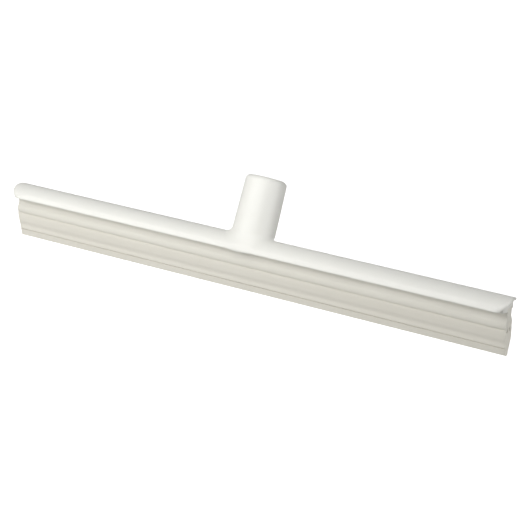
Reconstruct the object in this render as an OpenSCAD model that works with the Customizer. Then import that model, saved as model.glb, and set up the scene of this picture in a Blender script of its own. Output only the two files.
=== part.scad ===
// Floor squeegee: moulded rail with handle socket, slide-in blade carrier, rubber blade.
// X runs along the blade, Y points to the back, Z points up.
// The origin is the centre of the handle socket's mouth.

/* [Blade] */
// Length of the blade and of its carrier, both cut square
blade_length = 500; // [400:10:600]
// Thickness of the blade at its wiping tip
tip_thick = 2.2; // [1.8:0.1:3]
// Half thickness of the blade at the seam with the carrier
seam_half = 6.0; // [5.8:0.1:6.1]
// Height of the blade's bead axis above the wiping tip
bead_z = 27.1; // [26.8:0.1:27.6]
// Radius of the blade's bead
bead_r = 2.8; // [2.4:0.1:3]
// Half thickness of the web between the bead and the blade
web_half = 1.3; // [1:0.1:1.5]
// Depth of the sharp lengthways groove near the tip
groove_depth = 0.5; // [0.2:0.1:0.8]

/* [Carrier] */
// Radius of the carrier's lower bulb
bulb_r = 6.2; // [6:0.1:6.4]
// Half thickness of the carrier's waist
waist_half = 3.7; // [3.4:0.1:4]
// Half width of the carrier's sliding head
head_half = 7.0; // [6:0.1:7.2]
// Gap between the head and the channel on each side
slide_gap = 0.3; // [0.2:0.05:0.4]

/* [Rail] */
// Radius of the rail's arched top
arch_r = 19; // [18.6:0.1:20]
// Height of the top of the arch above the wiping tip
arch_top = 50.6; // [50:0.1:51]
// Thickness of the arched shell
rail_wall = 3.2; // [2.8:0.1:3.4]
// Half width of the rail
rail_half = 14.6; // [14:0.1:15]
// Radius of the corners of the rail's ends, seen from above
end_r = 12.2; // [8:0.1:14]
// How far each end of the rail reaches past the carrier's end
end_over = 3; // [2:0.1:5]
// Thickness of the stop at the closed end of the channel
stop_wall = 6.2; // [5.5:0.1:8]

/* [Handle socket] */
// Lean of the socket towards the back
socket_tilt = 27.3; // [24:0.1:30]
// Radius of the socket at its mouth
socket_r_top = 18.7; // [17.5:0.1:20]
// Radius of the socket at its foot
socket_r_foot = 19.5; // [18.5:0.1:21]
// Length of the socket above the rail, along its axis
socket_rise = 51; // [48:0.5:60]
// Radius of the bore for the handle's threaded end
bore_r = 12; // [11:0.1:13]
// Depth of the bore
bore_depth = 44; // [38:0.5:46]
// Rounding of the socket's rim
rim_round = 4.6; // [3:0.1:5]

/* [Hidden] */
$fn = 72;
half_len = blade_length / 2;
rail_len = half_len + end_over;          // half length of the rail
rock = 15;                               // rocking of the blade, each way
arch_z = arch_top - arch_r;              // centre line of the arch
rim_r = rail_wall / 2 + 0.15;            // bead along the rail's edge
mid_r = arch_r - rail_wall / 2;
rim_a = asin((rail_half - rim_r) / mid_r);
box_z = arch_top - 10.6;                 // underside of the channel
box_half = head_half + 2.6;
lip = 2.0;                               // thickness of the channel's lips
head_z0 = box_z + lip + slide_gap;       // sliding head, bottom and top
head_z1 = head_z0 + 3.6;
chan_half = head_half + slide_gap;
slot_half = waist_half + 0.9;
neck_half = waist_half + 0.5;
waist_z = 35;
waist_r = 4;
socket_y = 12.3;                         // socket axis, 48 mm above the tip
socket_z = 48;
mouth_y = socket_y + socket_rise * sin(socket_tilt);
mouth_z = socket_z + socket_rise * cos(socket_tilt);
white = [0.93, 0.93, 0.92];
cream = [0.86, 0.84, 0.77];

// moves the drawing from the wiping tip to the socket's mouth
module placed() {
    translate([0, -mouth_y, -mouth_z]) children();
}

// extrudes a section drawn as (back, up) from x0 to x1
module along(x0, x1) {
    translate([x0, 0, 0]) rotate([90, 0, 90]) linear_extrude(height = x1 - x0) children();
}

module rail_section() {
    // arched shell
    intersection() {
        difference() {
            translate([0, arch_z]) circle(r = arch_r);
            translate([0, arch_z]) circle(r = arch_r - rail_wall);
        }
        translate([0, arch_z])
            polygon([[0, 0], [60 * sin(rim_a), 60 * cos(rim_a)], [0, 90], [-60 * sin(rim_a), 60 * cos(rim_a)]]);
    }
    // beads along both edges
    for (s = [-1, 1])
        translate([s * mid_r * sin(rim_a), arch_z + mid_r * cos(rim_a)]) circle(r = rim_r);
    // channel block
    intersection() {
        translate([-box_half, box_z]) square([2 * box_half, arch_top - box_z]);
        translate([0, arch_z]) circle(r = mid_r);
    }
}

module rail_plan() {
    w = rail_half + 0.6;                 // clear of the rail's edges
    union() {
        square([2 * (rail_len - end_r), 2 * w], center = true);
        square([2 * rail_len, 2 * (w - end_r)], center = true);
        for (s = [-1, 1], t = [-1, 1])
            translate([s * (rail_len - end_r), t * (w - end_r)]) circle(r = end_r);
    }
}

// socket turned about its own axis; height 0 is on the axis, 48 mm above the tip
module socket_solid() {
    r0 = socket_r_foot;
    r1 = socket_r_top;
    t = rim_round;
    translate([0, socket_y, socket_z]) rotate([-socket_tilt, 0, 0])
        rotate_extrude()
            polygon(concat(
                [[0, -26], [r0, -26], [r0, -4]],
                [for (a = [0:15:90]) [r1 - t + t * cos(a), socket_rise - t + t * sin(a)]],
                [[0, socket_rise]]));
}

// everything below the rounded underside of the socket
module below_socket() {
    r = 38;
    difference() {
        translate([-60, -60, -40]) cube([120, 160, 100]);
        translate([-70, 10, box_z + 0.6 + r]) rotate([0, 90, 0]) cylinder(r = r, h = 140, $fn = 120);
    }
}

// rail before its channel is cut; the arch is open at both ends
module rail_blank() {
    intersection() {
        along(-rail_len - 1, rail_len + 1) rail_section();
        translate([0, 0, box_z - 5]) linear_extrude(height = 30) rail_plan();
    }
}

module rail() {
    color(white) placed() difference() {
        rail_blank();
        // channel for the sliding head, open at the left end
        along(-rail_len - 5, rail_len - stop_wall)
            translate([-chan_half, box_z + lip]) square([2 * chan_half, head_z1 + slide_gap - box_z - lip]);
        // slot for the neck, open at both ends
        along(-rail_len - 5, rail_len + 5)
            translate([-slot_half, box_z - 1]) square([2 * slot_half, lip + 2]);
    }
}

// one moulding with the rail; it ends on the rail's surface
module handle_socket() {
    color(white) placed() difference() {
        socket_solid();
        below_socket();
        along(-60, 60) rail_section();
        translate([-60, -60, 0]) cube([120, 62, arch_top - 4]);
        // bore for the handle
        translate([0, socket_y, socket_z]) rotate([-socket_tilt, 0, 0])
            translate([0, 0, socket_rise - bore_depth]) cylinder(r = bore_r, h = bore_depth + 10);
    }
}

module carrier_section() {
    difference() {
        union() {
            translate([0, bead_z]) circle(r = bulb_r);
            translate([-bulb_r + 0.1, bead_z]) square([2 * bulb_r - 0.2, waist_z - bead_z]);
            translate([-neck_half, waist_z - 1]) square([2 * neck_half, head_z0 + 1.5 - waist_z]);
        }
        // hollow flanks of the waist
        for (s = [-1, 1]) translate([s * (waist_half + waist_r), waist_z]) circle(r = waist_r);
        // bore for the bead and its flared slot
        translate([0, bead_z]) circle(r = bead_r + 0.08);
        translate([0, bead_z]) polygon([
            for (p = [[-1, 1], [1, 1], [1, bulb_r + 2], [-1, bulb_r + 2]])
                [p[0] * ((web_half + 0.15) / cos(rock + 1) + p[1] * tan(rock + 1)), -p[1]]]);
    }
}

module blade_carrier() {
    color(white) placed() {
        union() {
            along(-half_len, half_len) carrier_section();
            along(-half_len + 2.5, rail_len - stop_wall - 0.3)
                translate([-head_half, head_z0]) square([2 * head_half, head_z1 - head_z0]);
        }
    }
}

module blade_section() {
    g = groove_depth;
    f = 2.2;
    // front flank, nearly upright, and back flank, bevelled to the tip
    front = [
        [f - 0.4, 0], [f, 0.4], [f + 0.35, 2.2], [f + 1.0, 6.2], [f + 1.25 - g, 6.9], [f + 1.5, 7.6],
        [f + 1.7, 11], [f + 2.45, 14.2], [f + 3.0, 16.5], [seam_half - 0.25, 20], [seam_half, 22.4], [seam_half, bead_z + 4]
    ];
    b = tip_thick - f;
    back = [[b - 0.4, 0], [b, 0.4], [5.5, 13], [seam_half, 14.8], [seam_half, bead_z + 4]];
    difference() {
        polygon(concat([for (p = front) [-p[0], p[1]]], [for (i = [len(back) - 1:-1:0]) back[i]]));
        // room for the carrier, round the web and the bead
        translate([0, bead_z]) difference() {
            union() {
                circle(r = bulb_r + 0.3);
                translate([-8, 0]) square([16, 8]);
            }
            translate([-web_half, -bulb_r - 2]) square([2 * web_half, bulb_r + 1]);
            circle(r = bead_r);
        }
    }
}

module blade() {
    color(cream) placed() along(-half_len, half_len) blade_section();
}

rail();
handle_socket();
blade_carrier();
blade();
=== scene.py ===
import math

import bpy
import numpy as np
from mathutils import Matrix, Vector
from mathutils.geometry import tessellate_polygon


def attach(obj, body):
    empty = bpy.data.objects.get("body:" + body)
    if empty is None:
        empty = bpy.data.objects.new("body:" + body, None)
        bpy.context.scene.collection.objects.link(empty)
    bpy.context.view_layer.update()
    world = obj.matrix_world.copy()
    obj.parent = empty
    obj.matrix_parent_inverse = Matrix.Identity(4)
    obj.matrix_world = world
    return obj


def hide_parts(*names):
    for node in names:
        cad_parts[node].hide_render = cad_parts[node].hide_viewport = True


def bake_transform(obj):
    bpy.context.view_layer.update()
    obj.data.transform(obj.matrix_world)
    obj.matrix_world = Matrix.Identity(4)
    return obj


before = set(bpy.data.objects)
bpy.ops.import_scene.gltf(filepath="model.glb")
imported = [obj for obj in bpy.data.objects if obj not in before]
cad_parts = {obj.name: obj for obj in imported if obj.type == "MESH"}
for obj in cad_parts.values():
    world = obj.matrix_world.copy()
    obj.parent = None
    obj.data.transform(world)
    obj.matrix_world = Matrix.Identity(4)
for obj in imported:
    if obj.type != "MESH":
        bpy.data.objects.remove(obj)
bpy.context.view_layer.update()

# ---------------------------------------------------------------------------
# Sizes, in millimetres, with X along the blade, Y to the back and Z up from the
# wiping edge. The part's own origin is the centre of the socket's mouth.
# ---------------------------------------------------------------------------
TILT = math.radians(27.3)
SOCKET_Y, SOCKET_Z, SOCKET_RISE = 12.3, 48.0, 51.0
MOUTH = np.array([0.0,
                  SOCKET_Y + SOCKET_RISE * math.sin(TILT),
                  SOCKET_Z + SOCKET_RISE * math.cos(TILT)])
ARCH_R, ARCH_Z = 19.0, 31.6
RAIL_HALF, RAIL_WALL = 14.6, 3.2
END_X, END_R = 252.97, 11.6
RIM_Z = 41.6
BOX_Z, BOX_HALF = 40.0, 9.6
HALF_LEN = 249.98


def to_frame(p):
    """Millimetres from the wiping edge to metres from the socket's mouth."""
    return (np.asarray(p, float) - MOUTH) * 0.001


def sockets(x, y, z):
    """Height along the socket's axis, distance from it and angle around it."""
    dy, dz = y - SOCKET_Y, z - SOCKET_Z
    s = dy * math.sin(TILT) + dz * math.cos(TILT)
    q = dy * math.cos(TILT) - dz * math.sin(TILT)
    return s, np.sqrt(x * x + q * q), np.arctan2(x, q)


def cut_round(a, b, r):
    """Intersection of two signed distances, its edge rounded to radius r."""
    return np.minimum(np.maximum(a, b), -r) + np.sqrt(
        np.maximum(a + r, 0) ** 2 + np.maximum(b + r, 0) ** 2)


def join_round(a, b, r):
    """Union of two signed distances with a fillet of radius r."""
    return np.maximum(np.minimum(a, b), r) - np.sqrt(
        np.maximum(r - a, 0) ** 2 + np.maximum(r - b, 0) ** 2)


def step(a, b, t):
    u = np.clip((t - a) / (b - a), 0, 1)
    return u * u * (3 - 2 * u)


# ---------------------------------------------------------------------------
# The frame: one moulding of the arched rail and the threaded handle socket
# ---------------------------------------------------------------------------
def frame_distance(x, y, z):
    x, y, z = np.broadcast_arrays(x, y, z)
    ax, ay = np.abs(x), np.abs(y)
    arch = np.sqrt(y * y + (z - ARCH_Z) ** 2) - ARCH_R
    u, v = ax - END_X + END_R, ay - RAIL_HALF + END_R
    plan = np.sqrt(np.maximum(u, 0) ** 2 + np.maximum(v, 0) ** 2) + np.minimum(np.maximum(u, v), 0) - END_R
    # the crown rolls over softly at the long edges; the arch is thinner and open at the ends
    thin = step(232, 244, ax)
    tray = cut_round(arch, plan, 3.0 - 1.6 * thin)
    tray = cut_round(tray, RIM_Z - z, 0.9)
    hollow = cut_round(arch + RAIL_WALL - 1.0 * thin, ay - RAIL_HALF + 3.0 - 1.8 * thin, 1.5)
    rail = cut_round(tray, -hollow, 0.5 + 0.3 * thin)
    block = cut_round(cut_round(ay - BOX_HALF, BOX_Z - z, 0.7),
                      np.maximum(arch + 1.0, plan + 2.4), 0.7)
    rail = join_round(rail, block, 0.8)
    # socket
    s, rho, ang = sockets(x, y, z)
    radius = 19.44 - 0.8 * np.clip((s + 4.0) / 50.4, 0, 1)
    sock = cut_round(rho - radius, s - SOCKET_RISE + 0.03, 4.6)
    sock = cut_round(sock, BOX_Z + 0.8 - z, 6.0)
    body = np.maximum(join_round(rail, sock, 6.0), -y - RAIL_HALF + 0.01)
    # channel for the sliding head, open at the left end, and the slot of its neck
    chan = np.maximum(np.maximum(ay - 7.3, np.abs(z - 44.1) - 2.1), x - 246.8)
    slot = np.maximum(ay - 4.6, z - 43.0)
    body = cut_round(body, -np.minimum(chan, slot), 0.35)
    # threaded bore: a right-hand groove cut outwards on a 5 mm pitch
    turn = s / 5.0 + ang / (2 * math.pi)
    wave = 0.5 + 0.5 * np.cos(2 * math.pi * turn)
    groove = step(0.30, 0.82, wave) * step(8.5, 11.0, s) * step(50.5, 47.0, s)
    bore = np.maximum(rho - 12.0 - 1.3 * groove, 7.0 - s)
    return cut_round(body, -bore, 1.1)


def grid_line(*spans):
    """Grid positions from (start, end, spacing) spans in a row."""
    out = [spans[0][0]]
    for a, b, h in spans:
        n = max(1, int(round((b - a) / h)))
        out += list(a + (b - a) * np.arange(1, n + 1) / n)
    return np.array(out)


def skin(distance, xs, ys, zs, rounds=5):
    """Closed quad mesh of the zero level of a signed distance on a box grid."""
    nx, ny, nz = len(xs), len(ys), len(zs)
    val = np.empty((nx, ny, nz), np.float32)
    for i in range(nx):
        val[i] = distance(xs[i], ys[:, None], zs[None, :])
    inside = val < 0
    corners = [(i, j, k) for i in (0, 1) for j in (0, 1) for k in (0, 1)]
    part = lambda a, c: a[c[0]:nx - 1 + c[0], c[1]:ny - 1 + c[1], c[2]:nz - 1 + c[2]]
    count = sum(part(inside, c).astype(np.int8) for c in corners)
    ci, cj, ck = np.nonzero((count > 0) & (count < 8))
    number = np.full((nx - 1, ny - 1, nz - 1), -1, np.int64)
    number[ci, cj, ck] = np.arange(len(ci))
    total, hits = np.zeros((len(ci), 3)), np.zeros(len(ci))
    for a in corners:
        for axis in range(3):
            if a[axis]:
                continue
            b = list(a)
            b[axis] = 1
            va = val[ci + a[0], cj + a[1], ck + a[2]].astype(float)
            vb = val[ci + b[0], cj + b[1], ck + b[2]].astype(float)
            on = (va < 0) != (vb < 0)
            t = np.where(on, va / np.where(on, va - vb, 1), 0)
            pa = np.stack([xs[ci + a[0]], ys[cj + a[1]], zs[ck + a[2]]], 1)
            pb = np.stack([xs[ci + b[0]], ys[cj + b[1]], zs[ck + b[2]]], 1)
            total[on] += (pa + t[:, None] * (pb - pa))[on]
            hits[on] += 1
    verts = total / hits[:, None]
    size = np.stack([np.diff(xs)[ci], np.diff(ys)[cj], np.diff(zs)[ck]], 1)
    quads = []
    for axis in range(3):
        u, v = (axis + 1) % 3, (axis + 2) % 3
        lo, hi = [slice(None)] * 3, [slice(None)] * 3
        lo[axis], hi[axis] = slice(0, -1), slice(1, None)
        e0, e1 = inside[tuple(lo)], inside[tuple(hi)]
        idx = np.stack(np.nonzero(e0 != e1), 1)
        top = np.array([nx - 1, ny - 1, nz - 1])
        idx = idx[(idx[:, u] > 0) & (idx[:, v] > 0) & (idx[:, u] < top[u]) & (idx[:, v] < top[v])]
        ring = []
        for du, dv in ((1, 1), (0, 1), (0, 0), (1, 0)):
            c = idx.copy()
            c[:, u] -= du
            c[:, v] -= dv
            ring.append(number[c[:, 0], c[:, 1], c[:, 2]])
        ring = np.stack(ring, 1)
        out = e0[idx[:, 0], idx[:, 1], idx[:, 2]]
        quads.append(np.where(out[:, None], ring, ring[:, ::-1]))
    quads = np.concatenate(quads)

    def slope(p, h=0.02):
        g = np.empty_like(p)
        for a in range(3):
            d = np.zeros(3)
            d[a] = h
            q, r = p + d, p - d
            g[:, a] = (distance(q[:, 0], q[:, 1], q[:, 2]) - distance(r[:, 0], r[:, 1], r[:, 2])) / (2 * h)
        return g

    start = verts.copy()
    for _ in range(rounds):
        f = distance(verts[:, 0], verts[:, 1], verts[:, 2])
        g = slope(verts)
        verts = verts - (f / np.maximum((g * g).sum(1), 0.15))[:, None] * g * 0.9
        verts = np.clip(verts, start - 0.75 * size, start + 0.75 * size)
    # how sharply each point of the surface is rounded outwards, for wear
    h = 0.5
    bend = -6 * distance(verts[:, 0], verts[:, 1], verts[:, 2])
    for a in range(3):
        d = np.zeros(3)
        d[a] = h
        for q in (verts + d, verts - d):
            bend = bend + distance(q[:, 0], q[:, 1], q[:, 2])
    return verts, quads, bend / (h * h)


def new_mesh(name, verts, faces, smooth_angle=None):
    mesh = bpy.data.meshes.new(name)
    mesh.from_pydata([tuple(v) for v in to_frame(verts)], [], [tuple(int(i) for i in f) for f in faces])
    mesh.validate()
    mesh.update()
    for p in mesh.polygons:
        p.use_smooth = True
    if smooth_angle is not None:
        mesh.set_sharp_from_angle(angle=math.radians(smooth_angle))
    obj = bpy.data.objects.new(name, mesh)
    bpy.context.scene.collection.objects.link(obj)
    return obj


def mark(obj, name, values):
    a = obj.data.attributes.new(name, "FLOAT", "POINT")
    a.data.foreach_set("value", np.asarray(values, np.float32))


xs = grid_line((-253.4, -236.0, 0.6), (-236.0, -228.0, 1.6), (-228.0, -40.0, 7.5), (-40.0, -32.0, 1.6),
               (-32.0, 32.0, 0.6),
               (32.0, 40.0, 1.6), (40.0, 228.0, 7.5), (228.0, 236.0, 1.6), (236.0, 253.4, 0.6))
ys = grid_line((-15.4, 52.4, 0.55))
zs = grid_line((39.15, 101.15, 0.55))
verts, quads, bend = skin(frame_distance, xs, ys, zs)
moulding = new_mesh("frame_moulding", verts, quads, 42)
mark(moulding, "edge", np.clip((bend - 0.10) / 0.45, 0, 1))
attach(moulding, "frame")
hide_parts("rail", "handle_socket")


# ---------------------------------------------------------------------------
# Carrier and blade: sections carried along the length and cut square
# ---------------------------------------------------------------------------
def curve(points, z):
    """Smooth monotone curve through (z, value) points."""
    p = np.array(sorted(points), float)
    h, d = np.diff(p[:, 0]), np.diff(p[:, 1]) / np.diff(p[:, 0])
    m = np.zeros(len(p))
    for i in range(1, len(p) - 1):
        if d[i - 1] * d[i] > 0:
            w1, w2 = 2 * h[i] + h[i - 1], h[i] + 2 * h[i - 1]
            m[i] = (w1 + w2) / (w1 / d[i - 1] + w2 / d[i])
    m[0], m[-1] = d[0], d[-1]
    i = np.clip(np.searchsorted(p[:, 0], z) - 1, 0, len(h) - 1)
    t = (z - p[i, 0]) / h[i]
    return ((2 * t ** 3 - 3 * t ** 2 + 1) * p[i, 1] + (t ** 3 - 2 * t ** 2 + t) * h[i] * m[i]
            + (3 * t ** 2 - 2 * t ** 3) * p[i + 1, 1] + (t ** 3 - t ** 2) * h[i] * m[i + 1])


def arc(cy, cz, r, a0, a1, n):
    """Points on a circle, from one angle to another in degrees from straight down towards +Y."""
    a = np.radians(np.linspace(a0, a1, n))
    return [(cy + r * s, cz - r * c) for s, c in zip(np.sin(a), np.cos(a))]


def mirrored(half):
    """Closed section from its +Y half, which starts and ends on the middle."""
    half = np.array(half, float)
    return np.concatenate([half, (half[::-1] * (-1, 1))[1:-1]])


def extrude(section, x0, x1, ease, steps=66):
    """Closed mesh of a section carried from x0 to x1, with eased end edges."""
    before, after = np.roll(section, 1, 0), np.roll(section, -1, 0)
    side = after - before
    out = np.stack([side[:, 1], -side[:, 0]], 1) / np.linalg.norm(side, axis=1)[:, None]
    turn = np.sign(np.sum(section[:, 0] * after[:, 1] - after[:, 0] * section[:, 1]))
    rows = [(x0, ease), (x0 + 0.3 * ease, 0.3 * ease), (x0 + ease, 0)]
    rows += [(x, 0) for x in np.linspace(x0 + 5, x1 - 5, steps)]
    rows += [(x1 - ease, 0), (x1 - 0.3 * ease, 0.3 * ease), (x1, ease)]
    verts = np.concatenate([np.column_stack([np.full(len(section), x), section - out * turn * e]) for x, e in rows])
    m, faces = len(section), []
    for i in range(len(rows) - 1):
        for j in range(m):
            k = (j + 1) % m
            q = (i * m + j, (i + 1) * m + j, (i + 1) * m + k, i * m + k)
            faces.append(q if turn < 0 else q[::-1])
    for base, sense in ((0, -1), ((len(rows) - 1) * m, 1)):
        flat = [Vector((verts[base + j, 1], verts[base + j, 2], 0)) for j in range(m)]
        for t in tessellate_polygon([flat]):
            a, b, c = (flat[i] for i in t)
            way = 1 if (b - a).cross(c - a).z > 0 else -1
            t = tuple(base + i for i in t)
            faces.append(t if way == sense else t[::-1])
    return verts, faces


# carrier: round keel slotted for the blade's bead, hollow waist and neck
AXIS_Z = 27.1
CARRIER = [(27.1, 6.16), (27.6, 6.16), (29.0, 6.0), (30.5, 5.6), (32.0, 4.9), (33.5, 4.15), (35.0, 3.76), (36.2, 3.85),
           (37.2, 4.12), (38.2, 4.2), (42.5, 4.2)]
h = np.concatenate([np.linspace(27.4, 39.0, 40), np.linspace(39.6, 42.5, 6)])
half = arc(0, AXIS_Z, 2.88, 180, 46.2, 14)
half += [(1.508 + 0.2867 * p, AXIS_Z - p) for p in np.linspace(2.4, 5.1, 5)]
half += arc(0, AXIS_Z, 6.16, 31.5, 90, 20)
half += [(y, z) for y, z in zip(curve(CARRIER, h), h)]
half += [(4.05, 42.8), (2.0, 42.8), (0.0, 42.8)]
half[0] = (0.0, AXIS_Z + 2.88)
v1, f1 = extrude(mirrored(half), -HALF_LEN, HALF_LEN, 0.15)
# its head, which runs in the rail's channel
r = 0.45
half = [(0.0, 42.3)] + arc(7.0 - r, 42.3 + r, r, 0, 90, 6) + arc(7.0 - r, 45.9 - r, r, 90, 180, 6) + [(0.0, 45.9)]
v2, f2 = extrude(mirrored(half), -247.5, 246.5, 0.3)
verts = np.concatenate([v1, v2])
carrier = new_mesh("carrier_moulding", verts, f1 + [tuple(i + len(v1) for i in f) for f in f2], 35)
# painted shade: the carrier's last 0.8 mm at each end is darkened in spots, standing in for the shade on its end faces
mark(carrier, "edge", np.clip((np.abs(verts[:, 0]) - 249.0) / 0.8, 0, 1) * 0.7)
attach(carrier, "cassette")
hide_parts("blade_carrier")

# blade: bead and web, lips under the carrier, front flank with its bending groove, back flank bevelled to the tip
FRONT = [(0.0, 2.12), (1.0, 2.3), (2.0, 2.48), (3.5, 2.74), (5.0, 3.0), (6.2, 3.2), (7.6, 3.68), (8.6, 3.78), (9.8, 3.83),
         (11.0, 3.9), (12.2, 4.08), (13.2, 4.34), (14.2, 4.66), (15.2, 4.95), (16.5, 5.22), (18.0, 5.47), (20.0, 5.76),
         (22.0, 5.95), (23.4, 6.0), (24.05, 6.0)]
BACK = [(0.4, 0.0), (4.6, 1.83), (8.8, 3.67), (12.4, 5.22), (13.6, 5.66), (14.8, 5.92), (16.0, 6.0), (24.05, 6.0)]
h = np.unique(np.concatenate([np.linspace(0.42, 24.05, 70), np.linspace(1.3, 2.7, 9), np.linspace(6.56, 7.24, 35)]))
w = curve(FRONT, h) - 0.85 * step(6.62, 6.70, h) * step(7.18, 7.10, h) - 0.16 * np.exp(-((h - 2.0) / 0.28) ** 2)
crown = arc(5.8, 24.05, 0.2, 105, 250, 7) + arc(0, AXIS_Z, 6.35, 60.5, 15, 16)
crown += [(1.42, 21.0), (1.3, 21.4), (1.3, 22.5), (1.3, 23.6)] + arc(0, AXIS_Z, 2.7, 30, 180, 16)
crown[-1] = (0.0, AXIS_Z + 2.7)
fore = arc(1.74, 0.38, 0.38, 0, 84, 6) + list(zip(w, h)) + crown[:-1]
aft = [(-1.1, 0.0), (-0.35, 0.0), (-0.12, 0.1)] + list(zip(curve(BACK, h), h)) + crown
verts, faces = extrude(np.array(aft + [(-y, z) for y, z in fore[::-1]]), -HALF_LEN, HALF_LEN, 0.1)
rubber = new_mesh("wiper_rubber", verts, faces, 40)
# painted shade: the rubber is darker towards the wiping edge, over its lowest 2.2 mm
mark(rubber, "edge", np.clip(1 - verts[:, 2] / 2.2, 0, 1))
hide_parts("blade")
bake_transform(rubber)


# ---------------------------------------------------------------------------
# Materials
# ---------------------------------------------------------------------------
class Shader:
    """Small helper that adds and links shader nodes."""

    def __init__(self, name):
        self.mat = bpy.data.materials.new(name)
        self.mat.use_nodes = True
        self.tree = self.mat.node_tree
        self.bsdf = self.tree.nodes["Principled BSDF"]
        self.place = self.add("ShaderNodeTexCoord").outputs["Object"]

    def add(self, kind, **values):
        node = self.tree.nodes.new(kind)
        for k, v in values.items():
            setattr(node, k, v)
        return node

    def link(self, a, b):
        self.tree.links.new(a, b)

    def noise(self, scale, detail=2.0, rough=0.5, stretch=None, offset=(0, 0, 0)):
        at = self.add("ShaderNodeMapping")
        at.inputs["Location"].default_value = offset
        at.inputs["Scale"].default_value = stretch or (1, 1, 1)
        self.link(self.place, at.inputs["Vector"])
        n = self.add("ShaderNodeTexNoise")
        n.inputs["Scale"].default_value = scale
        n.inputs["Detail"].default_value = detail
        n.inputs["Roughness"].default_value = rough
        self.link(at.outputs["Vector"], n.inputs["Vector"])
        return n.outputs["Fac"]

    def ramp(self, fac, *stops):
        r = self.add("ShaderNodeValToRGB")
        e = r.color_ramp.elements
        while len(e) < len(stops):
            e.new(0.5)
        for i, (pos, col) in enumerate(stops):
            e[i].position = pos
            e[i].color = (col, col, col, 1) if isinstance(col, (int, float)) else (*col, 1)
        self.link(fac, r.inputs["Fac"])
        return r.outputs["Color"]

    def math(self, op, a, b):
        n = self.add("ShaderNodeMath", operation=op)
        for i, v in enumerate((a, b)):
            if isinstance(v, (int, float)):
                n.inputs[i].default_value = v
            else:
                self.link(v, n.inputs[i])
        return n.outputs["Value"]

    def mix(self, fac, a, b, kind="MIX"):
        n = self.add("ShaderNodeMix", data_type="RGBA", blend_type=kind)
        for name, v in (("Factor", fac), ("A", a), ("B", b)):
            s = [i for i in n.inputs if i.name == name and i.enabled][0] if name != "Factor" else n.inputs[0]
            if isinstance(v, (int, float)):
                s.default_value = v
            elif isinstance(v, tuple):
                s.default_value = (*v, 1)
            else:
                self.link(v, s)
        return [o for o in n.outputs if o.enabled][0]

    def attribute(self, name):
        n = self.add("ShaderNodeAttribute", attribute_name=name)
        return n.outputs["Fac"]

    def bump(self, height, strength, distance, normal=None):
        n = self.add("ShaderNodeBump")
        n.inputs["Strength"].default_value = strength
        n.inputs["Distance"].default_value = distance
        self.link(height, n.inputs["Height"])
        if normal is not None:
            self.link(normal, n.inputs["Normal"])
        return n.outputs["Normal"]


def plastic(name, tint_and_shade):
    s = Shader(name)
    # the multiplier scales every colour: a slight warm tint for the frame, painted shade for the carrier
    shade = lambda *c: tuple(a * b for a, b in zip(c, tint_and_shade))
    flow = s.noise(9.0, 3.0, 0.55, stretch=(0.6, 1.6, 1.6))
    cloud = s.noise(70.0, 3.0, 0.6)
    grain = s.noise(1500.0, 2.0, 0.6)
    scratch = s.noise(60.0, 4.0, 0.65, stretch=(1.0, 26.0, 26.0), offset=(0.13, 0.02, 0.4))
    nick = s.noise(420.0, 3.0, 0.7, offset=(0.3, 0.2, 0.1))
    base = s.ramp(flow, (0.30, shade(0.846, 0.842, 0.806)), (0.70, shade(0.872, 0.870, 0.838)))
    base = s.mix(s.ramp(cloud, (0.45, 0.0), (0.80, 0.30)), base, shade(0.836, 0.834, 0.800))
    scuff = s.ramp(scratch, (0.60, 0.0), (0.74, 1.0))
    # the edge mask is real wear on the frame's rounded edges and painted shade at the carrier's ends; both darken the
    # colour in spots and roughen it
    wear_and_shade = s.math("MULTIPLY", s.attribute("edge"), s.ramp(nick, (0.42, 0.0), (0.66, 1.0)))
    base = s.mix(s.math("MULTIPLY", scuff, 0.16), base, shade(0.760, 0.758, 0.735))
    base = s.mix(s.math("MULTIPLY", wear_and_shade, 0.22), base, shade(0.735, 0.730, 0.700))
    s.link(base, s.bsdf.inputs["Base Color"])
    rough = s.math("ADD", s.ramp(cloud, (0.25, 0.36), (0.75, 0.47)), s.math("MULTIPLY", scuff, 0.10))
    rough = s.math("ADD", rough, s.math("MULTIPLY", wear_and_shade, 0.10))
    s.link(rough, s.bsdf.inputs["Roughness"])
    n = s.bump(grain, 0.10, 0.00012)
    n = s.bump(scuff, 0.05, 0.00006, n)
    n = s.bump(cloud, 0.05, 0.0008, n)
    s.link(n, s.bsdf.inputs["Normal"])
    return s.mat


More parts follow.
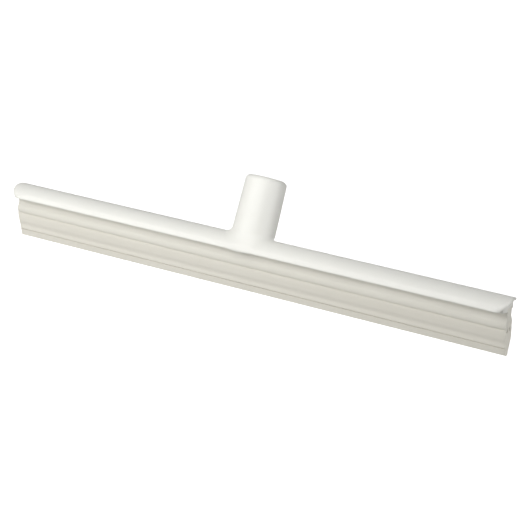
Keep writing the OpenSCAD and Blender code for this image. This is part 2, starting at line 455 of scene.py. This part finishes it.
def elastomer():
    s = Shader("cream_rubber_moulded")
    flow = s.noise(12.0, 3.0, 0.6, stretch=(0.5, 1.5, 2.0), offset=(0.4, 0.0, 0.2))
    cloud = s.noise(110.0, 4.0, 0.65)
    grain = s.noise(1900.0, 3.0, 0.65)
    streak = s.noise(40.0, 3.0, 0.6, stretch=(1.0, 20.0, 40.0), offset=(0.0, 0.3, 0.1))
    base = s.ramp(flow, (0.28, (0.820, 0.794, 0.710)), (0.72, (0.856, 0.833, 0.755)))
    base = s.mix(s.ramp(cloud, (0.40, 0.0), (0.78, 0.40)), base, (0.806, 0.780, 0.696))
    base = s.mix(s.math("MULTIPLY", s.ramp(streak, (0.52, 0.0), (0.75, 1.0)), 0.20), base, (0.784, 0.762, 0.688))
    # painted shade: darker towards the wiping edge through the edge mask, which also roughens it
    wear_and_shade = s.math("MULTIPLY", s.attribute("edge"), s.ramp(cloud, (0.40, 0.0), (0.62, 1.0)))
    base = s.mix(s.math("MULTIPLY", wear_and_shade, 0.30), base, (0.700, 0.680, 0.615))
    s.link(base, s.bsdf.inputs["Base Color"])
    rough = s.math("ADD", s.ramp(cloud, (0.25, 0.56), (0.75, 0.70)), s.math("MULTIPLY", wear_and_shade, 0.12))
    s.link(rough, s.bsdf.inputs["Roughness"])
    n = s.bump(grain, 0.18, 0.00012)
    n = s.bump(streak, 0.06, 0.0003, n)
    s.link(n, s.bsdf.inputs["Normal"])
    s.bsdf.inputs["Specular IOR Level"].default_value = 0.35
    return s.mat


pp = plastic("white_polypropylene_moulded", (1.0, 1.0, 0.985))
# painted shade: the carrier gets a darker, creamier copy of the white plastic for the shade it sits in under the rail
section = plastic("white_polypropylene_in_painted_shade", (0.945, 0.928, 0.875))
gum = elastomer()
for obj, mat in ((moulding, pp), (carrier, section), (rubber, gum)):
    obj.data.materials.clear()
    obj.data.materials.append(mat)
for name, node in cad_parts.items():
    node.data.materials.clear()
    node.data.materials.append({"blade": gum, "blade_carrier": section}.get(name, pp))

# ---------------------------------------------------------------------------
# Floor, light and camera
# ---------------------------------------------------------------------------
floor_z = float(to_frame((0, 0, 0))[2]) - 0.0002
mesh = bpy.data.meshes.new("floor")
mesh.from_pydata([(-30, -30, floor_z), (30, -30, floor_z), (30, 30, floor_z), (-30, 30, floor_z)], [], [(0, 1, 2, 3)])
floor = bpy.data.objects.new("floor", mesh)
bpy.context.scene.collection.objects.link(floor)
s = Shader("pale_floor")
s.link(s.ramp(s.noise(30.0, 2.0), (0.3, 0.86), (0.7, 0.88)), s.bsdf.inputs["Base Color"])
s.bsdf.inputs["Roughness"].default_value = 0.9
s.bsdf.inputs["Specular IOR Level"].default_value = 0.1
s.bsdf.inputs["Emission Color"].default_value = (1, 1, 1, 1)
s.bsdf.inputs["Emission Strength"].default_value = 0.9
mesh.materials.append(s.mat)
floor.visible_diffuse = False
floor.visible_glossy = False
floor.visible_shadow = False

scene = bpy.context.scene
scene.view_settings.view_transform = "Standard"
scene.view_settings.look = "None"
scene.view_settings.exposure = 0.0
scene.view_settings.gamma = 1.0

world = bpy.data.worlds.new("studio")
scene.world = world
world.use_nodes = True
back = world.node_tree.nodes["Background"]
# light comes back from the pale floor below, and less from the room above
sky = world.node_tree.nodes.new("ShaderNodeTexCoord")
part = world.node_tree.nodes.new("ShaderNodeSeparateXYZ")
level = world.node_tree.nodes.new("ShaderNodeMapRange")
level.inputs["From Min"].default_value, level.inputs["From Max"].default_value = -1.0, 1.0
tone = world.node_tree.nodes.new("ShaderNodeValToRGB")
tone.color_ramp.elements[0].position, tone.color_ramp.elements[0].color = 0.0, (0.58, 0.575, 0.56, 1)
tone.color_ramp.elements[1].position, tone.color_ramp.elements[1].color = 1.0, (0.0, 0.0, 0.0, 1)
mid = tone.color_ramp.elements.new(0.5)
mid.color = (0.07, 0.07, 0.07, 1)
world.node_tree.links.new(sky.outputs["Generated"], part.inputs["Vector"])
world.node_tree.links.new(part.outputs["Z"], level.inputs["Value"])
world.node_tree.links.new(level.outputs["Result"], tone.inputs["Fac"])
world.node_tree.links.new(tone.outputs["Color"], back.inputs["Color"])
back.inputs["Strength"].default_value = 1.0


def soft_box(name, at, target, size, power, shade=(1, 1, 1)):
    data = bpy.data.lights.new(name, "AREA")
    data.shape = "RECTANGLE"
    data.size, data.size_y = size
    data.energy = power
    data.color = shade
    obj = bpy.data.objects.new(name, data)
    scene.collection.objects.link(obj)
    obj.location = at
    aim = Vector(target) - Vector(at)
    obj.rotation_euler = aim.to_track_quat("-Z", "Y").to_euler()
    return obj


def soft_light(name, azimuth, height, far, size, power, shade=(1, 1, 1), aim=(0, 0, -0.05)):
    a, e = math.radians(azimuth), math.radians(height)
    at = (aim[0] + far * math.sin(a) * math.cos(e), aim[1] - far * math.cos(a) * math.cos(e), aim[2] + far * math.sin(e))
    return soft_box(name, at, aim, size, power * (math.pi * far) ** 2, shade)


soft_light("front", -15, 35, 0.85, (0.7, 0.7), 0.44, (1.0, 0.998, 0.985), (-0.25, 0, -0.05))
soft_light("low", -15, 8, 0.85, (0.7, 0.7), 0.32, (1.0, 0.998, 0.985), (-0.25, 0, -0.05))
soft_light("side", 14, 26, 0.62, (0.4, 0.4), 0.26, aim=(-0.04, 0, 0))
soft_light("above", 10, 66, 1.15, (0.9, 0.9), 0.365, aim=(-0.16, 0, -0.05))
soft_light("right", 95, 12, 3.0, (2.0, 2.0), 0.46)
soft_light("back", 205, 28, 1.6, (1.2, 1.2), 0.11, aim=(-0.15, 0, -0.05))
# light thrown back up by the floor behind
soft_light("bounce", 208, -22, 2.0, (1.6, 1.6), 0.38)

azimuth, height = math.radians(31.7864), math.radians(23.0114)
right = Vector((math.cos(azimuth), math.sin(azimuth), 0))
ahead = Vector((-math.sin(azimuth) * math.cos(height), math.cos(azimuth) * math.cos(height), -math.sin(height)))
upward = right.cross(ahead)
look = Vector(to_frame((0, 0, 45)))
eye = look - 1.494 * ahead + 0.0172 * right - 0.0202 * upward
data = bpy.data.cameras.new("camera")
data.sensor_width = 36.0
data.lens = 36.0 * 1720.0 / 531.0
data.clip_end = 50.0
camera = bpy.data.objects.new("camera", data)
scene.collection.objects.link(camera)
turn = Matrix((right, upward, -ahead)).transposed().to_4x4()
camera.matrix_world = Matrix.Translation(eye) @ turn
scene.camera = camera

bpy.context.view_layer.update()
